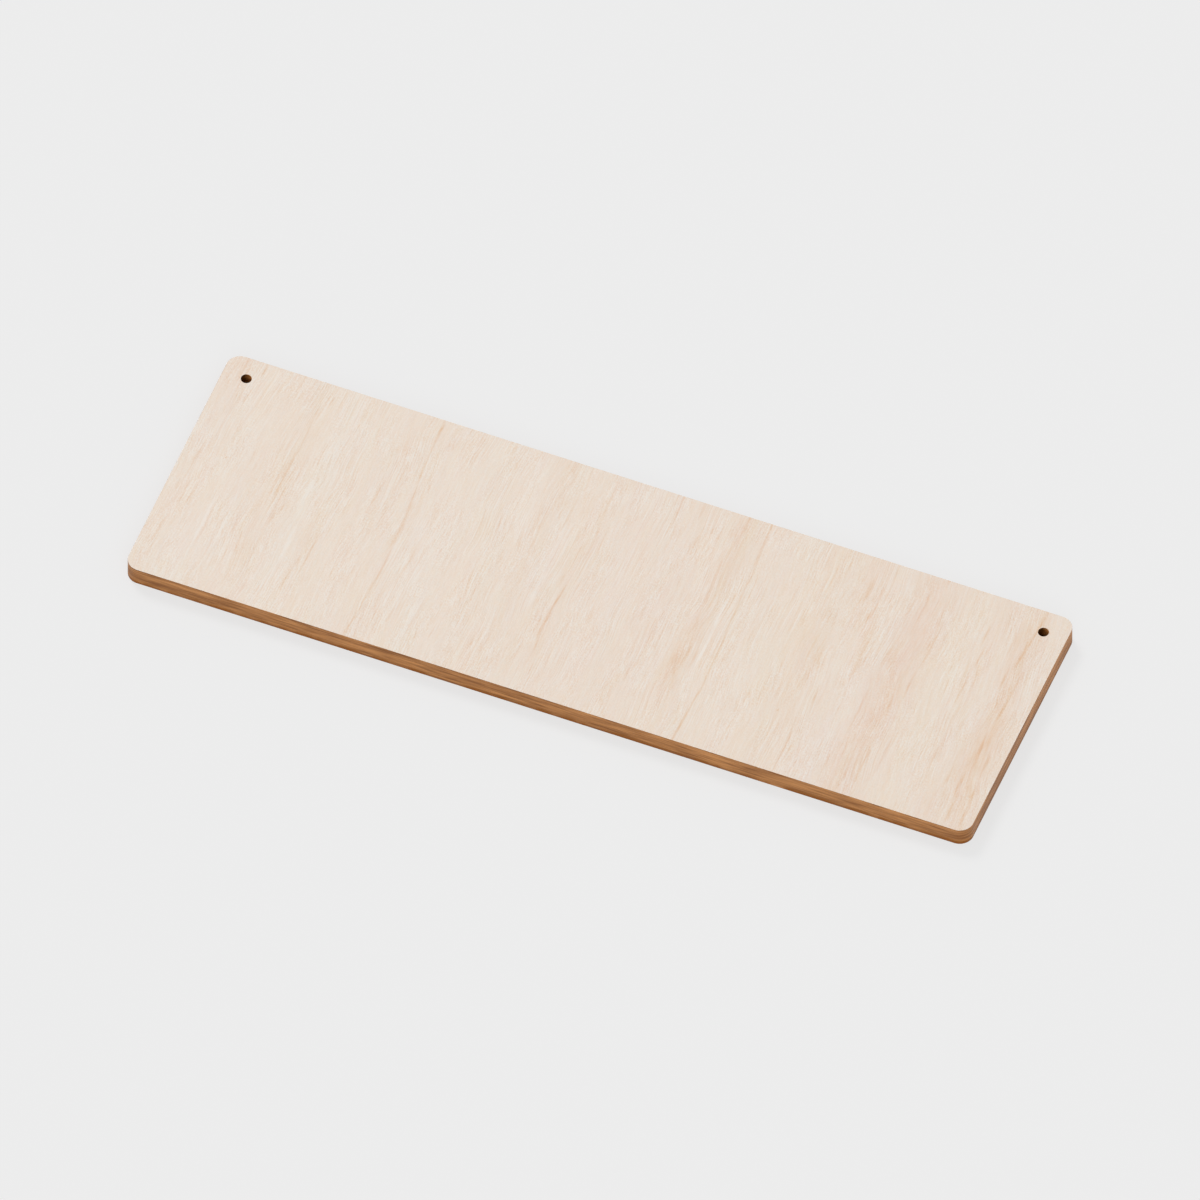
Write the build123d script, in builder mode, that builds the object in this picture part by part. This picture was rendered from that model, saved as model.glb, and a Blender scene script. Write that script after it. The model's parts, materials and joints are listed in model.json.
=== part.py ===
from build123d import *
import os

# Plywood sheet: a small oblong blank with rounded corners and two fixing holes, in millimetres.
# The origin is the middle of the underside, +X runs along the long side, +Y points to the
# long edge that has the holes, and +Z is up out of the top face.

# Driving dimensions
length = 250  # along X
width = 80  # along Y, the way the grain of the face runs
thickness = 6  # all the plies, glued and pressed into one board
corner_radius = 4
hole_diameter = 3
hole_inset = 7  # from the middle of a hole to each of the two edges nearest to it

# Places of the holes
hole_spacing = length - 2 * hole_inset
hole_row_y = width / 2 - hole_inset
top_face = Plane.XY.offset(thickness)

# The board is cut to its outline in one go, so its arrises are square and sharp
with BuildPart() as plywood_sheet:
    with BuildSketch(Plane.XY):
        RectangleRounded(length, width, corner_radius)
    extrude(amount=thickness)
    # A plain hole goes right through beside each of the two corners at the +Y edge
    with Locations(top_face):
        with Locations((-hole_spacing / 2, hole_row_y), (hole_spacing / 2, hole_row_y)):
            Hole(hole_diameter / 2)

plywood_sheet.part.label = "plywood_sheet"

os.makedirs("parts", exist_ok=True)
export_step(plywood_sheet.part, "parts/plywood_sheet.step")
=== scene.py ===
import json
import math

import bpy
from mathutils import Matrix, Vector
from mathutils.geometry import delaunay_2d_cdt


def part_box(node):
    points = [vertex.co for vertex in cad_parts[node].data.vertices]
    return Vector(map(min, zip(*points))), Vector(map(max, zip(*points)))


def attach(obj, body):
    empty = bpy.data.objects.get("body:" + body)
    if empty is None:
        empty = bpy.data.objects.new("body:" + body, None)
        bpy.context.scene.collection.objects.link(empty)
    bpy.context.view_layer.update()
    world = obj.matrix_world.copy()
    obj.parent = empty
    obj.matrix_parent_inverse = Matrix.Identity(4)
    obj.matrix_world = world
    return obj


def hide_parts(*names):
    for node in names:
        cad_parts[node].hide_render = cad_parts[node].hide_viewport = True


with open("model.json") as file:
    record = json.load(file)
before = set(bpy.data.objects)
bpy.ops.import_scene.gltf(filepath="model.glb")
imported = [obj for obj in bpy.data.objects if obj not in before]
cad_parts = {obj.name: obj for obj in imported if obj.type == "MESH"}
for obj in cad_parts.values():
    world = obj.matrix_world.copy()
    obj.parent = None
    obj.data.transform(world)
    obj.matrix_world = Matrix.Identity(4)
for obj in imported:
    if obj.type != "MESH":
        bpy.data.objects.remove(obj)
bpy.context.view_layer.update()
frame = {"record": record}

# Plywood sheet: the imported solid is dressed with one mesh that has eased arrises, a face veneer
# on each side and a browned cut edge. Sizes are in metres, unless a name ends in _MM. Cells of
# noise and places of marks are in millimetres.

MM = 0.001

# Sizes that the frame gives
NODE = "plywood_sheet"
low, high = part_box(NODE)
HALF_LENGTH = high[0]
HALF_WIDTH = high[1]
THICKNESS = high[2]
HOLES = [m for m in frame["record"]["mounts"] if m["kind"] == "bore"]
HALF_LENGTH_MM = HALF_LENGTH / MM
THICKNESS_MM = round(THICKNESS / MM, 3)
HOLE_X_MM = abs(HOLES[0]["pos_m"][0]) / MM  # how far each hole is from the middle of the sheet

# Sizes that the frame doesn't give
CORNER_RADIUS = 4 * MM
EASE = 0.1 * MM  # radius of every arris

# Fineness of the mesh: steps round a corner and round a hole, spacing of the points along a
# straight side, and rows of faces up the wall between the arrises and round each arris
CORNER_STEPS = 24
HOLE_STEPS = 64
SIDE_STEP = 5 * MM
WALL_ROWS = 6
EASE_ROWS = 4


def srgb(red, green, blue):
    """A colour as it looks on screen, 0 to 255, for a shader socket."""
    def linear(value):
        value /= 255
        return value / 12.92 if value <= 0.04045 else ((value + 0.055) / 1.055) ** 2.4
    return (linear(red), linear(green), linear(blue), 1.0)


# Shader nodes

class Graph:
    """One material's nodes. Its methods add a node and give back its main output."""

    def __init__(self, name):
        self.material = bpy.data.materials.new(name)
        self.material.use_nodes = True
        self.nodes = self.material.node_tree.nodes
        self.links = self.material.node_tree.links
        self.nodes.clear()

    def add(self, kind, inputs=None, output=0, **settings):
        """A node of this kind. An input is a number, a colour, or another node's output."""
        node = self.nodes.new("ShaderNode" + kind)
        for name, value in settings.items():
            setattr(node, name, value)
        for key, value in (inputs or {}).items():
            if isinstance(value, bpy.types.NodeSocket):
                self.links.new(value, node.inputs[key])
            else:
                node.inputs[key].default_value = value
        return node.outputs[output]

    def math(self, operation, *values):
        return self.add("Math", dict(enumerate(values)), operation=operation)

    def total(self, *values):
        """The sum of several numbers."""
        result = values[0]
        for value in values[1:]:
            result = self.math("ADD", result, value)
        return result

    def ramp(self, value, start, end, to_start=0.0, to_end=1.0, curve="SMOOTHSTEP"):
        """Takes start..end to to_start..to_end, held level outside."""
        inputs = {0: value, 1: start, 2: end, 3: to_start, 4: to_end}
        return self.add("MapRange", inputs, interpolation_type=curve)

    def blend(self, factor, first, second, blend_type="MIX"):
        """A colour between two others. The factor is held between 0 and 1."""
        inputs = {0: factor, 6: first, 7: second}
        return self.add("Mix", inputs, output=2, data_type="RGBA", blend_type=blend_type,
                        clamp_factor=True)

    def position_mm(self):
        """The point in the frame, in millimetres."""
        point = self.add("TexCoord", output=3)
        return self.add("VectorMath", {0: point, "Scale": 1 / MM}, operation="SCALE")

    def split(self, vector):
        """The three parts of a vector."""
        node = self.add("SeparateXYZ", {0: vector}).node
        return list(node.outputs)

    def vector(self, x, y):
        return self.add("CombineXYZ", {0: x, 1: y})

    def noise(self, point, cell, seed, detail=1.0):
        """Soft noise about 0, from -0.5 to 0.5, whose cells have this size across two or three axes."""
        per_cell = (tuple(1 / size for size in cell) + (0,))[:3]
        # Each seed gives another part of the same noise
        shift = (seed, 2.3 * seed, 5.1 * seed)
        cells = self.add("VectorMath", {0: point, 1: per_cell, 2: shift}, operation="MULTIPLY_ADD")
        inputs = {"Vector": cells, "Scale": 1.0, "Detail": detail}
        found = self.add("TexNoise", inputs, noise_dimensions="%dD" % len(cell))
        return self.math("SUBTRACT", found, 0.5)

    def layer(self, point, cell, seed, strength, detail=1.0):
        """Noise times a strength."""
        return self.math("MULTIPLY", self.noise(point, cell, seed, detail), strength)

    def ellipses(self, x, y, marks):
        """The sum of soft ellipses, each given as in the lists of marks."""
        def slant(mark):
            back_x, back_y, front_x, front_y = mark[:4]
            return SLANT_STEP * round((front_x - back_x) / (back_y - front_y) / SLANT_STEP)

        result = 0.0
        before = slanted = None
        for mark in sorted(marks, key=slant):
            back_x, back_y, front_x, front_y, width, strength = mark
            # Marks with the same slant share the nodes that make it
            if slant(mark) != before:
                before = slant(mark)
                slanted = self.vector(self.math("MULTIPLY_ADD", y, before, x), y)
            length = back_y - front_y
            middle_y = (back_y + front_y) / 2
            middle_x = (back_x + front_x) / 2 + before * middle_y
            place = (-2 * middle_x / width, -2 * middle_y / length, 0)
            scale = (2 / width, 2 / length, 0)
            local = self.add("Mapping", {0: slanted, 1: place, 3: scale})
            ellipse = self.add("TexGradient", {0: local}, output=1, gradient_type="SPHERICAL")
            result = self.math("MULTIPLY_ADD", ellipse, strength, result)
        return result

    def finish(self, shader):
        """Puts the shader on the material and gives back the material."""
        output = self.nodes.new("ShaderNodeOutputMaterial")
        self.links.new(shader, output.inputs["Surface"])
        return self.material


# Face veneer

PALE_CREAM = srgb(235, 225.7, 213.8)
PALE_ROSY = srgb(235, 225.1, 215.8)
DEEP_CREAM = srgb(222, 186.2, 149)
DEEP_ROSY = srgb(221.5, 183.4, 156)
# The veneer is multiplied by something between these two
GREYER = (0.984, 1.0, 1.012, 1.0)
REDDER = (1.016, 1.0, 0.988, 1.0)
MEAN_WARMTH = 0.25  # 0 is the palest wood and 1 the deepest
MEAN_ROSY = 0.42  # 0 is cream and 1 rosy
RELIEF = 0.07 * MM  # depth of the fibres for one unit of warmth
VENEER_ROUGHNESS = 0.6

# Slope of the fibres at each end, and how far they waver over a long way and over a short one
LEFT_LEAN = -0.03
RIGHT_LEAN = 0.08
LONG_WAVER_MM = 4.0
SHORT_WAVER_MM = 0.5
# How far the listed marks waver over a short way, how far their ends are frayed, and the
# step to which their slopes are rounded
MARK_WAVER_MM = 0.6
FRAY_MM = 10.0
SLANT_STEP = 0.02

# Soft layers from broad to fine, and the fibres: width and length of a cell, and strength
SOFT_LAYERS = [
    ((3.6, 34), 0.085),
    ((1.3, 18), 0.14),
]
FIBRES = [
    ((0.75, 8), 0.25),
    ((0.36, 4.2), 0.35),
    ((0.45, 0.6), 0.46),
]
# Darker dashes, paler dashes and dots, which show only where their noise is high: cell, seed, the
# noise at which they begin, the noise at which they are full, and strength
DASHES = [
    ((0.42, 5), 40, 0.12, 0.30, 0.14),
    ((0.42, 6), 41, 0.12, 0.30, -0.14),
    ((0.45, 1.1), 44, 0.25, 0.36, 0.16),
]

# Marks of the top face as seen from above, in millimetres: x and y of the back end, x and y of the
# front end, width, and strength. A strength below 0 is paler than the wood round it.
TOP_BANDS = [
    (-110, 300, -110, -300, 170, -0.05),
    (95, 300, 95, -300, 120, 0.03),
    (-121, 60, -120, 12, 10, 0.12),
    (-108, 60, -108, -80, 12, -0.03),
    (-113, -6, -115, -50, 14, -0.03),
    (-97, 70, -96, -60, 12, 0.04),
    (-95, 30, -95, -30, 7, 0.06),
    (-87, 80, -87, -80, 9, -0.07),
    (-81.6, 2, -81.6, -26, 8, 0.07),
    (-66, 60, -66, -40, 8, 0.02),
    (-44, 80, -46, -60, 30, -0.05),
    (-30, 42, -31, -2, 8, -0.11),
    (-22.5, 80, -22.5, -80, 4, 0.03),
    (-18, 60, -18, -50, 10, -0.07),
    (-10, 60, -9.5, -40, 6, 0.02),
    (-9.7, 4, -9.7, -36, 7, 0.07),
    (2, 80, 2, -80, 14, -0.02),
    (17, 80, 18, -80, 14, 0.05),
    (29.5, 80, 30, -10, 14, 0.10),
    (28.5, 60, 28.2, -60, 9, 0.09),
    (28.2, 6, 28.2, -34, 9, 0.19),
    (33.6, 34, 33.6, -28, 2.0, -0.12),
    (46, 80, 48, -80, 20, -0.01),
    (66, 60, 71, 4, 11, 0.15),
    (73, 26, 76, -6, 7, 0.14),
    (63.5, 12, 63.5, -10, 6, 0.13),
    (61, 60, 60, -60, 12, 0.08),
    (86, 90, 86, -90, 17, 0.185),
    (85.5, -16, 86, -50, 10, 0.05),
    (98.5, 90, 99, -90, 9, -0.01),
    (107, 70, 106, -30, 8, 0.10),
    (112, -10, 112, -60, 8, 0.12),
    (115, 50, 116, 0, 12, 0.26),
    (117.5, 14, 118, -36, 14, 0.35),
    (119, -16, 122, -56, 14, 0.19),
]
# Where the wood is rosy, or below 0 creamy
TOP_ROSY = [
    (-119, 60, -119, 8, 14, 0.2),
    (-113, -6, -114, -46, 12, 0.4),
    (-97, 60, -97, -10, 14, -0.1),
    (-87, 80, -87, -80, 10, -0.2),
    (-50, 50, -50, -20, 16, 0.1),
    (-17, 30, -17, -16, 10, 0.4),
    (3, 80, 3, -80, 24, 0.3),
    (17, 60, 18, -60, 16, 0.25),
    (29, 60, 31, 0, 12, -0.2),
    (36, 40, 38, -40, 5, -0.4),
    (54, 80, 56, -60, 28, -0.25),
    (74, 4, 74, -60, 12, 0.4),
    (86, 90, 86, -90, 20, 0.36),
    (99, 80, 99, -80, 12, -0.3),
]
TOP_STREAKS = [
    # left quarter
    (-114.3, 43, -114.3, 34, 1.0, 0.40),
    (-119.9, 43, -119.9, 34, 1.0, 0.35),
    (-95.6, 36, -95.4, -24, 0.8, 0.28),
    (-95.9, 38, -95.7, 20, 0.9, 0.22),
    (-92.3, 22, -92.0, -7, 0.9, 0.18),
    (-97.0, 10, -97.0, -4, 0.9, 0.16),
    (-100.3, 20, -99.6, 8, 0.9, 0.20),
    (-106.2, 14, -106.2, 4, 1.0, 0.20),
    (-119.2, -1, -119.2, -16, 0.9, 0.25),
    (-93.2, 42, -93.2, 30, 1.0, 0.35),
    (-87.9, 12, -87.9, -6, 1.6, -0.25),
    (-86.0, -8, -86.0, -25, 1.6, -0.25),
    (-110.6, -4, -110.4, -34, 1.0, -0.25),
    (-109.7, -4, -109.5, -34, 1.0, 0.22),
    (-105.0, -4, -105.0, -32, 1.2, -0.28),
    (-79.3, -7, -79.5, -26, 1.1, 0.36),
    (-81.4, -19, -82.4, -34, 1.1, 0.24),
    (-120.2, 11, -120.9, -6, 1.0, 0.32),
    (-116.6, -4, -117.7, -17, 1.0, 0.30),
    (-120.5, -20, -121.7, -33, 1.0, 0.30),
    (-69.0, 18, -70.3, -4, 1.0, 0.26),
    # long line left of the middle
    (-62.1, 46, -61.5, 26, 1.0, 0.55),
    (-61.6, 34, -60.8, 14, 0.9, 0.36),
    (-60.9, 22, -59.3, 2, 1.1, 0.40),
    (-59.7, 12, -58.7, -9, 1.7, 0.42),
    (-58.9, -2, -58.6, -22, 0.9, 0.34),
    (-58.7, -12, -59.4, -32, 0.9, 0.36),
    (-59.1, -24, -60.2, -46, 0.9, 0.40),
    # second quarter
    (-53.9, -4, -53.9, -16, 1.2, -0.25),
    (-52.8, -3, -52.8, -16, 0.9, 0.22),
    (-18.1, 28, -18.0, 15, 0.9, 0.26),
    (-50.7, -25, -50.7, -34, 1.0, 0.34),
    (-37.9, -26, -37.9, -32, 1.0, 0.34),
    (-22.9, 42, -22.9, 34, 1.2, 0.28),
    (-23.6, 15, -23.6, 7, 1.2, 0.26),
    (-9.6, 42, -9.6, 20, 0.9, 0.24),
    (-11.4, 4, -11.4, -3, 1.0, 0.30),
    (-9.9, 1, -10.6, -14, 1.0, 0.62),
    (-10.5, -8, -10.1, -23, 1.0, 0.52),
    (-9.7, -19, -9.5, -30, 1.0, 0.28),
    (-7.9, -28, -7.8, -35, 1.0, 0.28),
    (-26.8, -16, -26.7, -37, 0.9, 0.20),
    # third quarter
    (9.3, 43, 9.2, 22, 1.0, 0.36),
    (15.4, 43, 15.4, 34, 1.1, 0.34),
    (17.9, 30, 17.9, 21, 1.0, 0.28),
    (22.9, 33, 22.9, 26, 1.0, 0.38),
    (28.5, 46, 28.6, 27, 1.4, 0.26),
    (27.2, -4, 27.4, -28, 1.6, 0.12),
    (30.4, -2, 30.2, -20, 1.2, 0.16),
    (32.5, -6, 32.5, -16, 1.0, 0.36),
    (33.2, 11, 33.4, -2, 1.0, -0.40),
    (33.6, -1, 33.6, -17, 1.0, -0.35),
    (13.2, 6, 13.2, -6, 1.2, 0.26),
    (17.1, -17, 17.1, -28, 1.0, 0.34),
    (20.7, -7, 20.7, -15, 1.0, 0.28),
    (49.6, 24, 49.6, 16, 1.0, 0.30),
    (43.9, 8, 43.9, -4, 1.0, 0.22),
    (50.7, -12, 50.7, -26, 1.0, 0.22),
    (61.0, 11, 61.0, 1, 1.0, 0.34),
    (53.9, -6, 53.9, -18, 1.1, 0.22),
    (57.9, -8, 57.9, -20, 1.1, 0.24),
    # long line right of the middle
    (34.8, 46, 35.6, 30, 1.0, 0.55),
    (35.3, 36, 36.2, 20, 0.9, 0.34),
    (35.9, 26, 36.6, 10, 0.9, 0.38),
    (36.4, 16, 37.3, -2, 0.9, 0.36),
    (37.1, 4, 37.9, -13, 0.9, 0.38),
    (37.8, -6, 38.2, -22, 0.9, 0.40),
    (38.2, -16, 37.5, -32, 0.9, 0.44),
    (37.6, -26, 37.3, -46, 1.0, 0.55),
    # right quarter
    (68.2, 36, 68.2, 23, 1.2, 0.34),
    (71.8, 26, 71.8, 17, 1.8, 0.28),
    (74.6, 11, 74.7, -4, 1.4, 0.28),
    (68.2, -6, 68.2, -18, 1.0, 0.34),
    (67.1, -25, 67.1, -37, 1.0, 0.42),
    (81.0, 31, 81.0, 21, 1.1, 0.38),
    (87.5, 44, 87.4, 36, 1.1, 0.60),
    (84.3, 43, 84.3, 16, 0.9, 0.30),
    (91.4, 24, 91.4, 9, 1.1, 0.28),
    (90.7, 8, 90.7, -5, 1.0, 0.38),
    (88.2, -1, 88.2, -9, 1.0, 0.32),
    (81.0, 1, 81.1, -23, 1.0, 0.32),
    (89.2, -21, 89.2, -33, 1.0, 0.34),
    (79.6, -28, 79.6, -38, 1.0, 0.42),
    (93.2, -13, 93.2, -33, 1.2, 0.30),
    (103.9, 33, 103.9, 21, 1.0, 0.42),
    (105.0, 22, 105.0, 14, 1.0, 0.32),
    (104.6, 13, 104.6, 1, 1.0, 0.34),
    (105.7, -8, 106.6, -28, 0.9, 0.32),
    (111.8, 31, 111.8, 22, 1.1, 0.38),
    (116.8, 44, 116.0, 26, 1.1, 0.42),
    (116.2, 32, 115.4, 17, 1.2, 0.40),
    (114.1, 19, 114.1, 6, 1.2, 0.44),
    (118.0, 18, 117.5, 2, 1.1, 0.36),
    (117.3, 8, 117.7, -4, 1.2, 0.46),
    (115.4, 8, 115.4, -2, 1.0, 0.32),
    (117.0, -4, 117.6, -20, 1.2, 0.52),
    (120.4, -11, 120.7, -20, 1.1, 0.46),
    (112.5, -19, 112.6, -29, 1.1, 0.38),
    (116.4, -20, 116.5, -27, 1.1, 0.46),
    (121.0, -21, 121.4, -34, 1.1, 0.50),
    (117.4, -26, 117.7, -40, 1.1, 0.44),
    (121.7, -33, 121.9, -40, 1.0, 0.44),
    # small flecks
    (-113.1, 5.6, -113.1, 4.4, 1.0, 0.70),
    (-83.2, 27.3, -83.2, 25.9, 0.8, 0.60),
    (60.4, -18.0, 60.4, -19.2, 0.9, 0.60),
    (85.7, -34.2, 85.7, -36.0, 1.0, 0.60),
    (63.5, 14.9, 63.5, 14.0, 0.9, 0.60),
    (-28.2, -1.5, -28.2, -2.5, 0.9, -0.60),
]


def veneer(name, seed, drift, bands=(), streaks=(), rosy_marks=()):
    """Pale sanded veneer whose fibres run along Y. Drift is how much its tone changes over X."""
    g = Graph(name)
    point = g.position_mm()
    x, y, _ = g.split(point)

    # Fibres lean a little, one way at one end and the other way at the other, and waver
    lean = g.ramp(x, -HALF_LENGTH_MM, HALF_LENGTH_MM, LEFT_LEAN, RIGHT_LEAN, "LINEAR")
    waver = g.noise(point, (7, 12), seed + 2)
    across = g.total(x, g.math("MULTIPLY", lean, y),
                     g.layer(point, (45, 30), seed + 1, LONG_WAVER_MM),
                     g.math("MULTIPLY", waver, SHORT_WAVER_MM))
    grain = g.vector(across, y)

    parts = [MEAN_WARMTH]
    layers = [((26, 300), drift), ((9, 70), 0.06 + drift / 4)] + SOFT_LAYERS
    for i, (cell, strength) in enumerate(layers):
        parts.append(g.layer(grain, cell, seed + 10 + i, strength))

    # Faint fibres everywhere, and here and there a dash or a dot, all stronger in some patches
    fine = []
    for i, (cell, strength) in enumerate(FIBRES):
        fine.append(g.layer(grain, cell, seed + 30 + i, strength))
    for cell, number, begin, full, strength in DASHES:
        fine.append(g.ramp(g.noise(grain, cell, seed + number), begin, full, 0.0, strength))
    patch = g.ramp(g.noise(point, (6, 18), seed + 20), -0.14, 0.16, 0.6, 1.4)
    fine = g.math("MULTIPLY", g.total(*fine), patch)
    # In some places the fibres are long, thin and side by side
    comb = g.layer(grain, (0.36, 20), seed + 42, 0.62)
    combed = g.ramp(g.noise(point, (10, 30), seed + 43), -0.04, 0.14, 0.15, 1.0)
    fine = g.math("ADD", fine, g.math("MULTIPLY", comb, combed))
    parts.append(fine)

    # Listed marks, frayed along the fibres. A band is made up of threads, a streak is broken.
    wavy = g.math("ADD", x, g.math("MULTIPLY", waver, MARK_WAVER_MM))
    frayed = g.math("ADD", y, g.layer(grain, (0.9, 9), seed + 50, FRAY_MM, detail=2))
    if bands:
        threads = g.total(g.noise(grain, (1.1, 12), seed + 51), g.noise(grain, (0.5, 5), seed + 52))
        threads = g.ramp(threads, -0.3, 0.3, 0.7, 1.42, "LINEAR")
        parts.append(g.math("MULTIPLY", g.ellipses(wavy, frayed, bands), threads))
    if streaks:
        broken = g.ramp(g.noise(grain, (0.6, 3), seed + 53), -0.25, 0.25, 0.7, 1.3, "LINEAR")
        parts.append(g.math("MULTIPLY", g.ellipses(wavy, frayed, streaks), broken))
    warmth = g.total(*parts)

    rosy = g.total(MEAN_ROSY, g.layer(grain, (12, 60), seed + 60, 0.5),
                   g.layer(grain, (2.2, 12), seed + 61, 1.0))
    if rosy_marks:
        rosy = g.math("ADD", rosy, g.ellipses(wavy, frayed, rosy_marks))
    pale = g.blend(rosy, PALE_CREAM, PALE_ROSY)
    deep = g.blend(rosy, DEEP_CREAM, DEEP_ROSY)
    redder = g.total(g.ramp(x, -HALF_LENGTH_MM, HALF_LENGTH_MM, 0.7, 0.35, "LINEAR"),
                     g.layer(grain, (6, 30), seed + 62, 0.8),
                     g.layer(grain, (0.8, 1.8), seed + 63, 1.8))
    tint = g.blend(redder, GREYER, REDDER)
    colour = g.blend(1.0, g.blend(warmth, pale, deep), tint, "MULTIPLY")

    relief = g.add("Bump", {"Strength": 1.0, "Distance": RELIEF, "Height": fine}, invert=True)
    shader = g.add("BsdfPrincipled", {"Base Color": colour, "Roughness": VENEER_ROUGHNESS,
                                      "Normal": relief})
    return g.finish(shader)


# Cut edge

# Colours where it is light, where it is dark, and of the painted shade at its foot
EDGE_COLOURS = (srgb(204, 143, 85), srgb(140, 87, 38), srgb(151, 88, 8))
HOLE_COLOURS = (srgb(220, 156, 90), srgb(82, 50, 18), srgb(104, 62, 22))
MEAN_TONE = 0.56  # 0 is dark and 1 light
EDGE_ROUGHNESS = 0.5
EDGE_GLOSS = 0.3
# Broad streaks, fine streaks and blotches: size of a cell along each axis, strength, and detail
EDGE_LAYERS = [
    ((13, 13, 0.95), 1.8, 2.0),
    ((8, 8, 0.42), 2.1, 2.0),
    ((16, 16, 4), 0.6, 1.0),
]
HOLE_SHARE = 0.4  # how much of them the wall of a hole has
# A dark rim begins this far from each arris, is full at this distance from it, and takes this
# much off the tone. At the lower arris, by the floor, the rim is painted shade.
RIM_BEGINS_MM = 1.0
RIM_FULL_MM = 0.2
RIM_STRENGTH = 0.4
# The painted shade at the foot, where the wall meets the floor, begins this high up, is full at this
# height, and covers this much of the streaks
FOOT_BEGINS_MM = 2.0
FOOT_FULL_MM = 0.4
FOOT_STRENGTH = 0.9


def cut_edge(name, seed, colours, drilled=False):
    """The brown cut edge: soft streaks drawn out along it, painted shade that deepens towards its foot by
    the floor, and a deeper tone at the arrises, painted shade at the lower one. A hole's wall has painted
    light on its +X side.
    """
    light, dark, foot = colours
    g = Graph(name)
    point = g.position_mm()
    x, _, z = g.split(point)
    share = HOLE_SHARE if drilled else 1.0
    # Painted shade: the tone darkens down the wall towards the floor and lightens towards the top
    parts = [MEAN_TONE, g.ramp(z, 0, THICKNESS_MM, -0.10, 0.07, "LINEAR")]
    for i, (cell, strength, detail) in enumerate(EDGE_LAYERS):
        parts.append(g.layer(point, cell, seed + i, strength * share, detail))
    tone = g.total(*parts)
    # Painted shade along the foot of the wall, where it meets the floor
    foot_shade = g.ramp(z, FOOT_BEGINS_MM, FOOT_FULL_MM, 0, FOOT_STRENGTH)
    if drilled:
        # Darker than the outer edge, the more so higher up, and painted light on the +X side of a hole,
        # where the key light from the left falls on its wall
        off = g.math("SUBTRACT", g.math("ABSOLUTE", x), HOLE_X_MM)
        off = g.math("MULTIPLY", off, g.math("SIGN", x))
        tone = g.total(tone, g.math("MULTIPLY", off, 0.45), g.ramp(z, 1.5, 5, -0.10, -0.18))
    else:
        # The rims and the foot are stronger in some places. The lower rim and the foot are painted shade
        # by the floor.
        upper = g.ramp(z, THICKNESS_MM - RIM_BEGINS_MM, THICKNESS_MM - RIM_FULL_MM, 0, RIM_STRENGTH)
        # Painted shade: the lower rim darkens the wall along the floor
        lower = g.ramp(z, RIM_BEGINS_MM, RIM_FULL_MM, 0, RIM_STRENGTH)
        rim_patches = g.ramp(g.noise(point, (7, 7, 3), seed + 3), -0.1, 0.2, 0.15, 1.0)
        tone = g.math("SUBTRACT", tone, g.math("MULTIPLY", g.math("ADD", upper, lower), rim_patches))
        uneven = g.ramp(g.noise(point, (5, 5, 9), seed + 4), -0.16, 0.16, 0.2, 1.6)
        foot_shade = g.math("MULTIPLY", foot_shade, uneven)
    colour = g.blend(foot_shade, g.blend(tone, dark, light), foot)
    shader = g.add("BsdfPrincipled", {"Base Color": colour, "Roughness": EDGE_ROUGHNESS,
                                      "Specular IOR Level": 0.0 if drilled else EDGE_GLOSS})
    return g.finish(shader)


# Mesh of the sheet

def outline():
    """Points round the sheet, anticlockwise, each with its outward direction."""
    loop = []
    corners = [(1, 1), (-1, 1), (-1, -1), (1, -1)]
    for i, (sign_x, sign_y) in enumerate(corners):
        centre = Vector((sign_x * (HALF_LENGTH - CORNER_RADIUS), sign_y * (HALF_WIDTH - CORNER_RADIUS)))
        for step in range(CORNER_STEPS + 1):
            angle = math.pi / 2 * (i + step / CORNER_STEPS)
            out = Vector((math.cos(angle), math.sin(angle)))
            loop.append((centre + CORNER_RADIUS * out, out))
        # The straight side that follows this corner
        start, out = loop[-1]
        along = Vector((-out.y, out.x))
        side = 2 * ((HALF_WIDTH if i % 2 else HALF_LENGTH) - CORNER_RADIUS)
        steps = 2 * round(side / SIDE_STEP / 2)
        for step in range(1, steps):
            loop.append((start + along * side * step / steps, out))
    return loop


def hole(mount):
    """Points round a hole, clockwise, each with the direction out of the wood."""
    centre = Vector(mount["pos_m"][:2])
    radius = mount["dims"]["r_mm"] * MM
    loop = []
    for step in range(HOLE_STEPS):
        angle = -2 * math.pi * step / HOLE_STEPS
        out = Vector((-math.cos(angle), -math.sin(angle)))
        loop.append((centre - radius * out, out))
    return loop


def profile():
    """The wall from bottom to top: how far in, how high, and how far the normal tips up."""
    quarter = math.pi / 2
    rows = []
    for step in range(EASE_ROWS + 1):
        tip = quarter * (step / EASE_ROWS - 1)
        rows.append((EASE * (1 - math.cos(tip)), EASE * (1 + math.sin(tip)), tip))
    for step in range(1, WALL_ROWS):
        rows.append((0.0, EASE + (THICKNESS - 2 * EASE) * step / WALL_ROWS, 0.0))
    for step in range(EASE_ROWS + 1):
        tip = quarter * step / EASE_ROWS
        rows.append((EASE * (1 - math.cos(tip)), THICKNESS - EASE * (1 - math.sin(tip)), tip))
    return rows


# The colour map holds the sheet in strips one above another, each half a length long: six with
# the wall round the outline, two with the underside and two with the top face. Heights and the
# gap are shares of the map.
WALL_PIECES = 6
STRIP_HEIGHTS = [0.030] * WALL_PIECES + [0.108] * 2 + [0.279] * 2
STRIP_GAP = 0.004
STRIP_MARGIN = 0.5 * MM
HOLE_PLACE = 115 * MM  # how far along the first two strips the walls of the holes lie

# For delaunay_2d_cdt: keep only triangles inside the edges, and points this close are one
INSIDE_ONLY = 1
CLOSE = 1e-9


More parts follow.
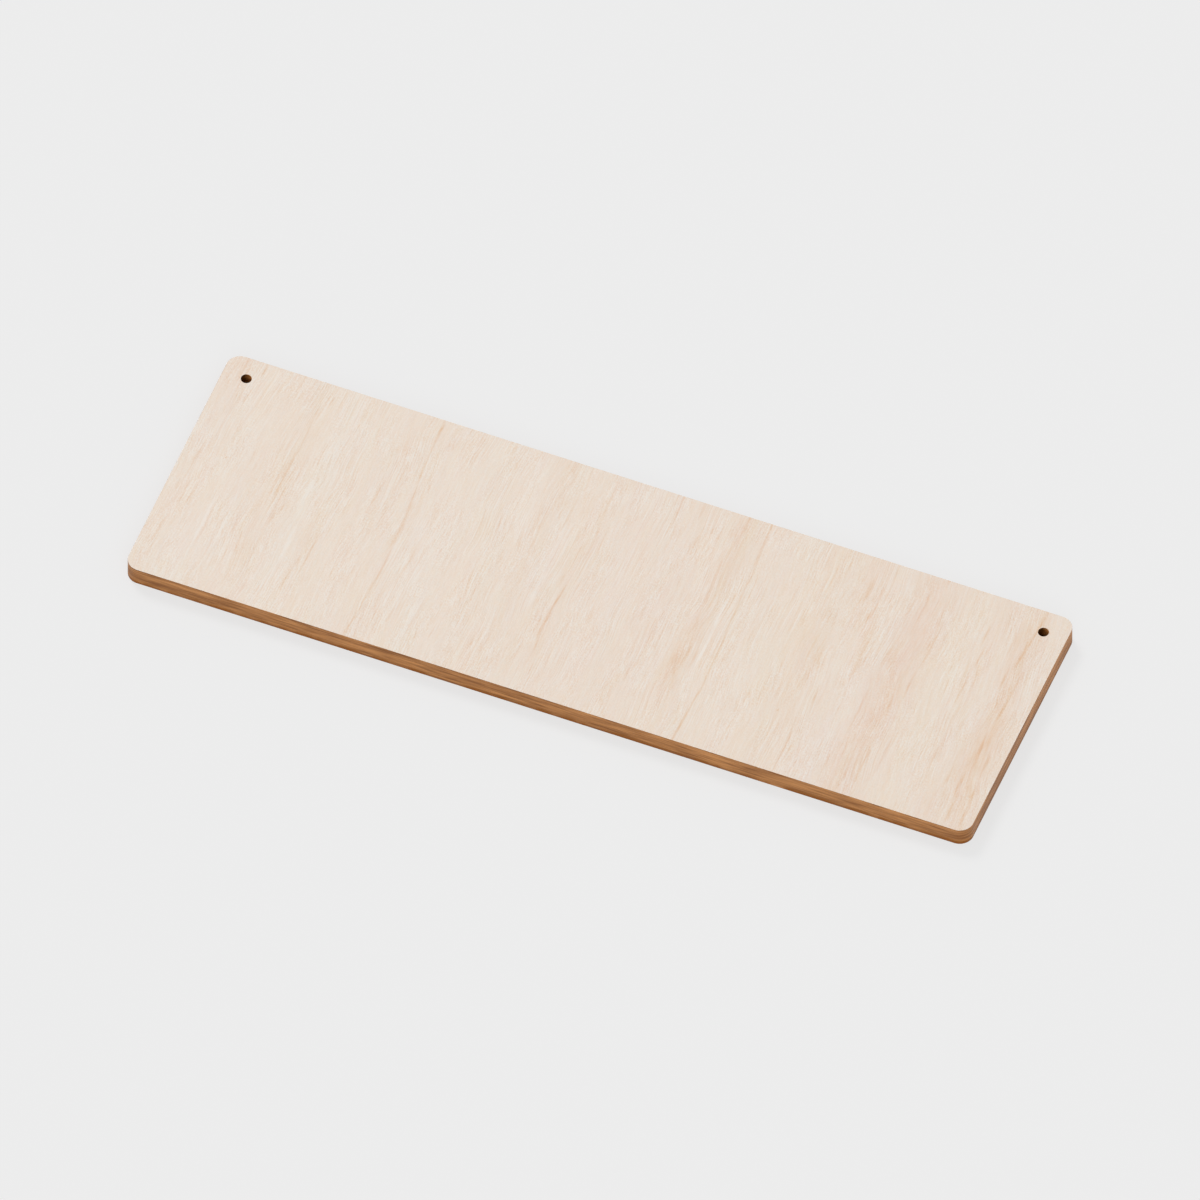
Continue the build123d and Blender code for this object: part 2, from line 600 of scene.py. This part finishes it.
def on_map(strip, along, up):
    """A point of the colour map, given in metres along a strip and from 0 to 1 up it."""
    foot = sum(STRIP_HEIGHTS[:strip]) + STRIP_GAP * (strip + 1)
    return ((along + STRIP_MARGIN) / (HALF_LENGTH + 2 * STRIP_MARGIN), foot + up * STRIP_HEIGHTS[strip])


def distances(points):
    """How far along a line of points each one is."""
    found = [0.0]
    for one, two in zip(points, points[1:]):
        found.append(found[-1] + (two - one).length)
    return found


# Material slots, in the order in which add_sheet adds the materials
TOP, UNDER, EDGE, HOLE_WALL = range(4)


class SheetMesh:
    """The whole sheet as one closed mesh. Faces, slots and mapped go together, one for each face."""

    def __init__(self):
        self.points = []
        self.normals = []
        self.faces = []
        self.slots = []
        self.mapped = []  # places of a face's corners on the colour map
        self.rows = profile()
        lower_rims = []
        upper_rims = []
        for number, loop in enumerate([outline()] + [hole(mount) for mount in HOLES]):
            rings = self.add_rings(loop)
            self.add_wall(number, loop, rings)
            lower_rims.append(rings[0])
            upper_rims.append(rings[-1])
        self.add_face(UNDER, lower_rims)
        self.add_face(TOP, upper_rims)

    def add_rings(self, loop):
        """A ring of points for each row of the wall, as lists of their numbers."""
        rings = []
        for inset, height, tip in self.rows:
            ring = []
            for place, out in loop:
                flat = place - out * inset
                ring.append(len(self.points))
                self.points.append((flat.x, flat.y, height))
                self.normals.append((out.x * math.cos(tip), out.y * math.cos(tip), math.sin(tip)))
            rings.append(ring)
        return rings

    def add_wall(self, number, loop, rings):
        """The wall round the outline, which is number 0, or round a hole."""
        rise = distances([Vector(row[:2]) for row in self.rows])
        run = distances([place for place, _ in loop + loop[:1]])
        for i in range(len(loop)):
            j = (i + 1) % len(loop)
            if number == 0:
                strip = int(WALL_PIECES * (run[i] + run[i + 1]) / 2 / run[-1])
                start = SIDE_STEP / 2 - run[-1] * strip / WALL_PIECES
            else:
                strip = number - 1
                start = HOLE_PLACE
            left = start + run[i]
            right = start + run[i + 1]
            for row in range(len(self.rows) - 1):
                lower = rise[row] / rise[-1]
                upper = rise[row + 1] / rise[-1]
                self.faces.append((rings[row][i], rings[row][j], rings[row + 1][j], rings[row + 1][i]))
                self.mapped.append([on_map(strip, left, lower), on_map(strip, right, lower),
                                    on_map(strip, right, upper), on_map(strip, left, upper)])
                # The outer half of each arris is veneer, the rest is cut edge
                if row < EASE_ROWS / 2:
                    self.slots.append(UNDER)
                elif row >= len(self.rows) - 1 - EASE_ROWS / 2:
                    self.slots.append(TOP)
                else:
                    self.slots.append(EDGE if number == 0 else HOLE_WALL)

    def add_face(self, slot, rings):
        """The top face or the underside, between the ring of the outline and those of the holes."""
        index = [i for ring in rings for i in ring]
        flat = [Vector(self.points[i][:2]) for i in index]
        # The two halves of a face meet in a straight line, for the strips of the colour map
        edges = [[i for i in range(len(rings[0])) if abs(flat[i].x) < MM / 10]]
        start = 0
        for ring in rings:
            edges += [(start + i, start + (i + 1) % len(ring)) for i in range(len(ring))]
            start += len(ring)
        places, _, triangles, sources, _, _ = delaunay_2d_cdt(flat, edges, [], INSIDE_ONLY, CLOSE)
        for triangle in triangles:
            if slot == UNDER:
                triangle = triangle[::-1]
            corners = [index[sources[i][0]] for i in triangle]
            # Three points of one rim have only the hole between them
            if any(set(corners) <= set(ring) for ring in rings[1:]):
                continue
            self.faces.append(corners)
            self.slots.append(slot)
            right = sum(places[i].x for i in triangle) > 0
            strip = WALL_PIECES + 2 * (slot == TOP) + right
            start_x = 0 if right else -HALF_LENGTH
            self.mapped.append([on_map(strip, places[i].x - start_x, places[i].y / (2 * HALF_WIDTH) + 0.5)
                                for i in triangle])


def add_sheet():
    """The dressed sheet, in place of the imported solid."""
    built = SheetMesh()
    mesh = bpy.data.meshes.new("dressed_sheet")
    mesh.from_pydata(built.points, [], built.faces)
    colour_map = mesh.uv_layers.new(name="OFBake")
    for polygon, slot, places in zip(mesh.polygons, built.slots, built.mapped):
        polygon.material_index = slot
        for corner, place in zip(polygon.loop_indices, places):
            colour_map.uv[corner].vector = place
    mesh.shade_smooth()
    mesh.normals_split_custom_set_from_vertices(built.normals)
    mesh.materials.append(veneer("veneer_top", 1, 0.06, TOP_BANDS, TOP_STREAKS, TOP_ROSY))
    mesh.materials.append(veneer("veneer_under", 140, 0.5))
    mesh.materials.append(cut_edge("cut_edge", 5, EDGE_COLOURS))
    mesh.materials.append(cut_edge("hole_wall", 8, HOLE_COLOURS, drilled=True))
    sheet = bpy.data.objects.new("dressed_sheet", mesh)
    bpy.context.collection.objects.link(sheet)
    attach(sheet, "root")
    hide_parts(NODE)


# Stage

FLOOR_COLOUR = srgb(236.7, 236.7, 236.7)
FLOOR_SIZE = 6.0
FLOOR_DROP = 0.02 * MM  # keeps the floor just clear of the underside
SHADOW_SHARE = 0.19  # how strongly the floor that the camera sees takes the shadow


def add_floor():
    """A pale floor with a faint shadow. From below it is clear, so that the underside shows."""
    g = Graph("floor")
    lit = g.add("BsdfDiffuse", {"Color": FLOOR_COLOUR})
    plain = g.add("Emission", {"Color": FLOOR_COLOUR, "Strength": 1.0})
    path = g.add("LightPath").node
    seen = g.math("MAXIMUM", path.outputs["Is Camera Ray"],
                  g.math("MAXIMUM", path.outputs["Is Glossy Ray"], path.outputs["Is Transmission Ray"]))
    share = g.math("MULTIPLY", seen, 1 - SHADOW_SHARE)
    front = g.add("MixShader", {0: share, 1: lit, 2: plain})
    clear = g.add("BsdfTransparent")
    below = g.add("NewGeometry", output=6)
    material = g.finish(g.add("MixShader", {0: below, 1: front, 2: clear}))

    half = FLOOR_SIZE / 2
    mesh = bpy.data.meshes.new("floor")
    corners = [(-half, -half), (half, -half), (half, half), (-half, half)]
    mesh.from_pydata([(x, y, -FLOOR_DROP) for x, y in corners], [], [(0, 1, 2, 3)])
    mesh.materials.append(material)
    floor = bpy.data.objects.new("floor", mesh)
    bpy.context.collection.objects.link(floor)


# Levels are shares of the light that shows a colour as written
WORLD_LEVEL = 0.55
KEY_LEVEL = 0.42
KEY_SPREAD = math.radians(20)
KEY_FROM = (-0.75, 0.62, 1.0)  # from the left and from behind
FILL_LEVEL = 0.21
FILL_SPREAD = math.radians(40)
FILL_FROM = (0.5, -1.1, 1.0)  # from the front


def add_softbox(name, level, spread, source):
    """A soft light from far away, which comes from the direction of source."""
    lamp = bpy.data.lights.new(name, "SUN")
    lamp.energy = level * math.pi
    lamp.angle = spread
    softbox = bpy.data.objects.new(name, lamp)
    softbox.rotation_euler = Vector(source).to_track_quat("Z", "Y").to_euler()
    bpy.context.collection.objects.link(softbox)


def add_light():
    """Two soft lights from above, and an even one from all round."""
    world = bpy.data.worlds.new("studio")
    world.use_nodes = True
    background = world.node_tree.nodes["Background"]
    background.inputs["Color"].default_value = (1, 1, 1, 1)
    background.inputs["Strength"].default_value = WORLD_LEVEL
    bpy.context.scene.world = world
    add_softbox("key", KEY_LEVEL, KEY_SPREAD, KEY_FROM)
    add_softbox("fill", FILL_LEVEL, FILL_SPREAD, FILL_FROM)


CAMERA_AZIMUTH = math.radians(21.95)
CAMERA_ELEVATION = math.radians(52.07)
CAMERA_DISTANCE = 0.6
FRAME_WIDTH = 0.3295  # what the picture takes in, side to side


def add_camera():
    """A parallel view that looks down on the middle of the sheet."""
    data = bpy.data.cameras.new("camera")
    data.type = "ORTHO"
    data.ortho_scale = FRAME_WIDTH
    back = Vector((math.sin(CAMERA_AZIMUTH) * math.cos(CAMERA_ELEVATION),
                   -math.cos(CAMERA_AZIMUTH) * math.cos(CAMERA_ELEVATION),
                   math.sin(CAMERA_ELEVATION)))
    camera = bpy.data.objects.new("camera", data)
    camera.location = (Vector(low) + Vector(high)) / 2 + back * CAMERA_DISTANCE
    camera.rotation_euler = back.to_track_quat("Z", "Y").to_euler()
    bpy.context.collection.objects.link(camera)
    bpy.context.scene.camera = camera


add_sheet()
add_floor()
add_light()
add_camera()
bpy.context.scene.view_settings.view_transform = "Standard"

bpy.context.view_layer.update()
